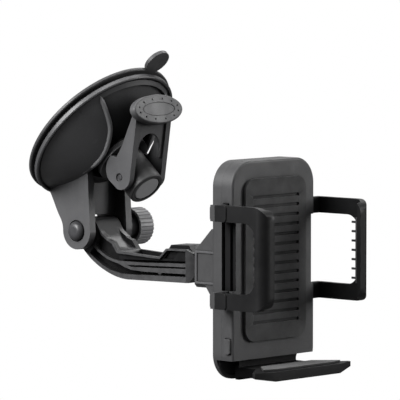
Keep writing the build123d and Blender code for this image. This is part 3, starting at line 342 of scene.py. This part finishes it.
# a lighter copy of the housing plastic: painted light on the lit side of the channel's edge
lit_bead_look = plastic("bead_lit_plastic", (0.11, 0.11, 0.113), 0.44, fine_grain, polished, wear=0.15, dust=0.06)
# recess paints shade on the arm's pocket walls
ribbed = plastic("ribbed_plastic", (0.026, 0.026, 0.027), 0.38, smooth_grain, polished, wear=0.6, coat=0.05,
                 dust=0.08, specular=0.44, recess=7.6 * MM)
# recess paints shade on the front shell's side faces near its middle
shell = plastic("shell_plastic", (0.026, 0.026, 0.027), 0.5, coarse_grain, rough, recess=27.0 * MM)
pale = plastic("pale_plastic", (0.15, 0.15, 0.154), 0.42, coarse_grain, matte)
cap_look = plastic("cap_plastic", (0.26, 0.26, 0.265), 0.42, coarse_grain, matte)
# the long reach spreads painted shade wider round the stem
stem_look = plastic("stem_plastic", (0.024, 0.024, 0.0245), 0.46, coarse_grain, rough, dust=0.02, reach=0.02)
own_look = {
    "lever": paler,
    "lever_badge": paler,
    "knob": pale,
    "stem_cap": cap_look,
    "stem": stem_look,
    "left_jaw": darker,
    "right_jaw": darkest,
    "foot": darkest,
    "arm": ribbed,
    "front_shell": shell,
    "base_housing": housing,
}


# ---------------------------------------------------------------- CAD nodes: soft edges and finishes
usual_edge = 0.12               # in millimetres, as are the edges below
edge_radius = {
    "base_housing": 0.35, "lever": 0.45, "arm": 0.25, "left_jaw": 0.55, "right_jaw": 0.55, "foot": 0.4,
    "back_shell": 0.35, "front_shell": 0.35, "socket_cap": 0.35, "swivel_hub": 0.35, "knob": 0.14,
    "stem": 0.3, "stem_cap": 0.2, "front_pad": 0.1, "foot_pad": 0.25, "release_button": 0.3,
    "left_grip": 0.2, "right_grip": 0.2, "left_rack": 0.1, "right_rack": 0.1, "lever_badge": 0.1,
}


def soften(node, radius):
    """Rounds a piece's sharp edges with modifiers, and leaves its own mesh alone."""
    node.data.shade_smooth()
    custom = node.data.attributes.get("custom_normal")
    if custom is not None:
        node.data.attributes.remove(custom)
    weld = node.modifiers.new("weld", "WELD")
    weld.merge_threshold = 0.000002
    bevel = node.modifiers.new("edges", "BEVEL")
    bevel.width = radius * MM
    bevel.segments = 2
    bevel.limit_method = "ANGLE"
    bevel.angle_limit = radians(32)
    bevel.use_clamp_overlap = True
    bevel.miter_outer = "MITER_ARC"
    weighted = node.modifiers.new("normals", "WEIGHTED_NORMAL")
    weighted.keep_sharp = False
    weighted.weight = 80


for name, node in nodes.items():
    node.data.materials.clear()
    node.data.materials.append(own_look.get(name, looks[slot_of[name]]))
    soften(node, edge_radius.get(name, usual_edge))


# ---------------------------------------------------------------- helpers for added pieces
side_names = {-1: "left", 1: "right"}


def mesh_object(name, shape, material=None):
    """Turns a bmesh into an object in the scene."""
    mesh = bpy.data.meshes.new(name)
    shape.to_mesh(mesh)
    shape.free()
    if material is not None:
        mesh.materials.append(material)
    piece = bpy.data.objects.new(name, mesh)
    scene.collection.objects.link(piece)
    return piece


def extruded(corners, offset):
    """A bmesh of an outline, filled and drawn out along an offset."""
    shape = bmesh.new()
    face = shape.faces.new([shape.verts.new(corner) for corner in corners])
    raised = bmesh.ops.extrude_face_region(shape, geom=[face])["geom"]
    top = [item for item in raised if isinstance(item, bmesh.types.BMVert)]
    bmesh.ops.translate(shape, verts=top, vec=offset)
    bmesh.ops.recalc_face_normals(shape, faces=shape.faces)
    return shape


# ---------------------------------------------------------------- drive recesses of the visible screws
head_height = 0.5 * MM
head_taper = 0.84
cross_reach = 0.6
cross_half_width = 0.14
cross_floor = -0.12 * MM


def cross_prism(arm, half_width, base, height):
    """A plus-shaped prism that stands on the plane at base."""
    quarter = [(half_width, arm), (half_width, half_width), (arm, half_width)]
    outline = []
    for turn in range(4):
        swing = Matrix.Rotation(-turn * pi / 2, 2)
        outline += [swing @ Vector(corner) for corner in quarter]
    return extruded([(point.x, point.y, base) for point in outline], (0, 0, height))


def cross_head(name, centre, radius):
    """Low screw head with a cross recess, facing away from the driver."""
    shape = bmesh.new()
    bmesh.ops.create_cone(shape, cap_ends=True, segments=40, radius1=radius, radius2=radius * head_taper,
                          depth=head_height)
    head = mesh_object(name, shape, looks["steel"])
    cross = cross_prism(radius * cross_reach, radius * cross_half_width, cross_floor, MM)
    cutter = mesh_object(name + "_cut", cross)
    cut = head.modifiers.new("cut", "BOOLEAN")
    cut.operation = "DIFFERENCE"
    cut.object = cutter
    finished = bpy.data.meshes.new_from_object(head.evaluated_get(bpy.context.evaluated_depsgraph_get()))
    head.modifiers.clear()
    head.data = finished
    bpy.data.objects.remove(cutter)
    head.rotation_euler = (radians(-90), 0, 0)
    head.location = Vector(centre) * MM
    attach(head, "cradle")


for side, side_name in side_names.items():
    for level, z in (("upper", -21.0), ("lower", -84.5)):
        cross_head(f"case_head_{level}_{side_name}", (20.0 * side, -98.05, z), 2.2 * MM)
    for level, z in (("upper", -43.0), ("lower", -79.0)):
        cross_head(f"hub_head_{level}_{side_name}", (13.5 * side, -93.45, z), 1.9 * MM)


# ---------------------------------------------------------------- raised frames on the socket cap's sides
frame_outline = [(-82.8, -53.6), (-70.6, -53.6), (-70.6, -69.0), (-82.8, -69.0),
                 (-82.8, -67.9), (-71.8, -67.9), (-71.8, -54.7), (-82.8, -54.7)]
frame_base = 9.6                # just inside the side's face
frame_top = 10.25
frame_edge = 0.2


def cap_frame(name, side):
    """Three low rails round the flat of one side, open towards the cradle."""
    corners = [Vector((side * frame_base, y, z)) * MM for y, z in frame_outline]
    shape = extruded(corners, across * (side * (frame_top - frame_base) * MM))
    rails = mesh_object(name, shape, paler)
    soften(rails, frame_edge)
    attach(rails, "cradle")


for side, side_name in side_names.items():
    cap_frame(f"cap_frame_{side_name}", side)


# ---------------------------------------------------------------- beads along the dome's channel
def along(points, steps):
    """Points on a smooth curve through the given ones."""
    smooth = []
    for index in range(len(points) - 1):
        around = [Vector(points[min(max(index + k, 0), len(points) - 1)]) for k in (-1, 0, 1, 2)]
        for step in range(steps):
            t = step / steps
            smooth.append(0.5 * (2 * around[1] + (around[2] - around[0]) * t
                                 + (2 * around[0] - 5 * around[1] + 4 * around[2] - around[3]) * t * t
                                 + (3 * around[1] - around[0] - 3 * around[2] + around[3]) * t * t * t))
    return smooth + [Vector(points[-1])]


# half width of the channel and height up the slope, in millimetres
bead_line = [(15.2, -7.0), (14.6, -1.0), (14.4, 6.0), (15.4, 15.0), (18.4, 21.0), (21.4, 25.5), (23.4, 28.0)]
bead_radius = 1.25 * MM
bead_sunk = 0.55 * MM
bead_tip = 0.45                 # share of the radius left at the bead's ends
dome_limits = (6.0 * MM, 20.6 * MM)
above_dome = 0.06


def channel_bead(name, side):
    """A rounded bead, thin at its ends, that follows the channel's edge over the dome."""
    housing_node = nodes["base_housing"]
    path = []
    for point in along(bead_line, 6):
        start = across * (side * point.x * MM) + up_slope * (point.y * MM) + cup_axis * above_dome
        hit, place, _, _ = housing_node.ray_cast(start, -cup_axis)
        if hit and dome_limits[0] < place.dot(cup_axis) < dome_limits[1]:
            path.append(place - cup_axis * bead_sunk)
    curve = bpy.data.curves.new(name, "CURVE")
    curve.dimensions = "3D"
    curve.bevel_depth = bead_radius
    curve.bevel_resolution = 3
    curve.use_fill_caps = True
    spline = curve.splines.new("POLY")
    spline.points.add(len(path) - 1)
    for index, place in enumerate(path):
        spline.points[index].co = (*place, 1)
        swell = min(1.0, 3.2 * sin(pi * index / (len(path) - 1)))
        spline.points[index].radius = bead_tip + (1 - bead_tip) * swell
    swept = bpy.data.objects.new(name + "_path", curve)
    scene.collection.objects.link(swept)
    scene_state = bpy.context.evaluated_depsgraph_get()
    mesh = bpy.data.meshes.new_from_object(swept.evaluated_get(scene_state))
    bpy.data.objects.remove(swept)
    mesh.materials.clear()
    # painted light: the bead takes the lighter copy of the housing plastic
    mesh.materials.append(lit_bead_look)
    mesh.shade_smooth()
    bead = bpy.data.objects.new(name, mesh)
    scene.collection.objects.link(bead)
    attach(bead, "base")


bpy.context.view_layer.update()
for side, side_name in side_names.items():
    channel_bead(f"dome_bead_{side_name}", side)


# ---------------------------------------------------------------- stage and lights
lowest, highest = cad_box
floor_drop = 0.25
floor_size = 60.0


def make_floor():
    """A wide pale floor some way below the mount."""
    mesh = bpy.data.meshes.new("floor")
    half = floor_size / 2
    level = lowest.z - floor_drop
    corners = [(-half, -half, level), (half, -half, level), (half, half, level), (-half, half, level)]
    mesh.from_pydata(corners, [], [(0, 1, 2, 3)])
    floor = bpy.data.objects.new("floor", mesh)
    scene.collection.objects.link(floor)
    material = bpy.data.materials.new("floor")
    material.use_nodes = True
    tree = material.node_tree
    pale = tree.nodes["Principled BSDF"]
    pale.inputs["Base Color"].default_value = (0.08, 0.08, 0.08, 1)
    pale.inputs["Roughness"].default_value = 0.9
    pale.inputs["Specular IOR Level"].default_value = 0.1
    glow = tree.nodes.new("ShaderNodeEmission")
    glow.inputs["Color"].default_value = (1, 1, 1, 1)
    path = tree.nodes.new("ShaderNodeLightPath")
    both = tree.nodes.new("ShaderNodeMixShader")
    tree.links.new(path.outputs["Is Camera Ray"], both.inputs["Fac"])
    tree.links.new(pale.outputs["BSDF"], both.inputs[1])
    tree.links.new(glow.outputs["Emission"], both.inputs[2])
    tree.links.new(both.outputs["Shader"], tree.nodes["Material Output"].inputs["Surface"])
    mesh.materials.append(material)


def make_world():
    """A dim studio, lighter overhead and dark below, that the camera sees as white."""
    world = bpy.data.worlds.new("studio")
    world.use_nodes = True
    scene.world = world
    tree = world.node_tree
    place = tree.nodes.new("ShaderNodeTexCoord")
    split = tree.nodes.new("ShaderNodeSeparateXYZ")
    height = tree.nodes.new("ShaderNodeMapRange")
    height.inputs["From Min"].default_value = -1.0
    ramp = tree.nodes.new("ShaderNodeValToRGB")
    stops = ramp.color_ramp.elements
    stops[0].position = 0.3
    stops[0].color = (0.03, 0.03, 0.03, 1)
    stops[1].position = 1.0
    stops[1].color = (0.75, 0.75, 0.75, 1)
    level = stops.new(0.56)
    level.color = (0.26, 0.26, 0.26, 1)
    tree.links.new(place.outputs["Generated"], split.inputs["Vector"])
    tree.links.new(split.outputs["Z"], height.inputs["Value"])
    tree.links.new(height.outputs["Result"], ramp.inputs["Fac"])
    studio = tree.nodes["Background"]
    tree.links.new(ramp.outputs["Color"], studio.inputs["Color"])
    white = tree.nodes.new("ShaderNodeBackground")
    white.inputs["Color"].default_value = (1, 1, 1, 1)
    path = tree.nodes.new("ShaderNodeLightPath")
    both = tree.nodes.new("ShaderNodeMixShader")
    tree.links.new(path.outputs["Is Camera Ray"], both.inputs["Fac"])
    tree.links.new(studio.outputs["Background"], both.inputs[1])
    tree.links.new(white.outputs["Background"], both.inputs[2])
    tree.links.new(both.outputs["Shader"], tree.nodes["World Output"].inputs["Surface"])


def softbox(name, azimuth, elevation, distance, size, power):
    """A square area light that faces the mount; azimuth and elevation are as seen from the camera."""
    data = bpy.data.lights.new(name, "AREA")
    data.shape = "RECTANGLE"
    data.size, data.size_y = size
    data.energy = power
    light = bpy.data.objects.new(name, data)
    turn = view_azimuth + radians(azimuth)
    rise = radians(elevation)
    back = Vector((sin(turn) * cos(rise), -cos(turn) * cos(rise), sin(rise)))
    light.location = (lowest + highest) / 2 + back * distance
    light.rotation_mode = "QUATERNION"
    light.rotation_quaternion = (-back).to_track_quat("-Z", "Y")
    scene.collection.objects.link(light)


make_floor()
make_world()
softbox("left", -58, 30, 1.3, (0.7, 0.8), 38.0)
softbox("front", 94, 14, 1.3, (0.5, 0.6), 10.0)
softbox("rim", 158, 48, 1.2, (0.8, 0.5), 6.0)
softbox("top", 20, 80, 1.3, (0.6, 0.6), 9.0)
scene.view_settings.view_transform = "Standard"
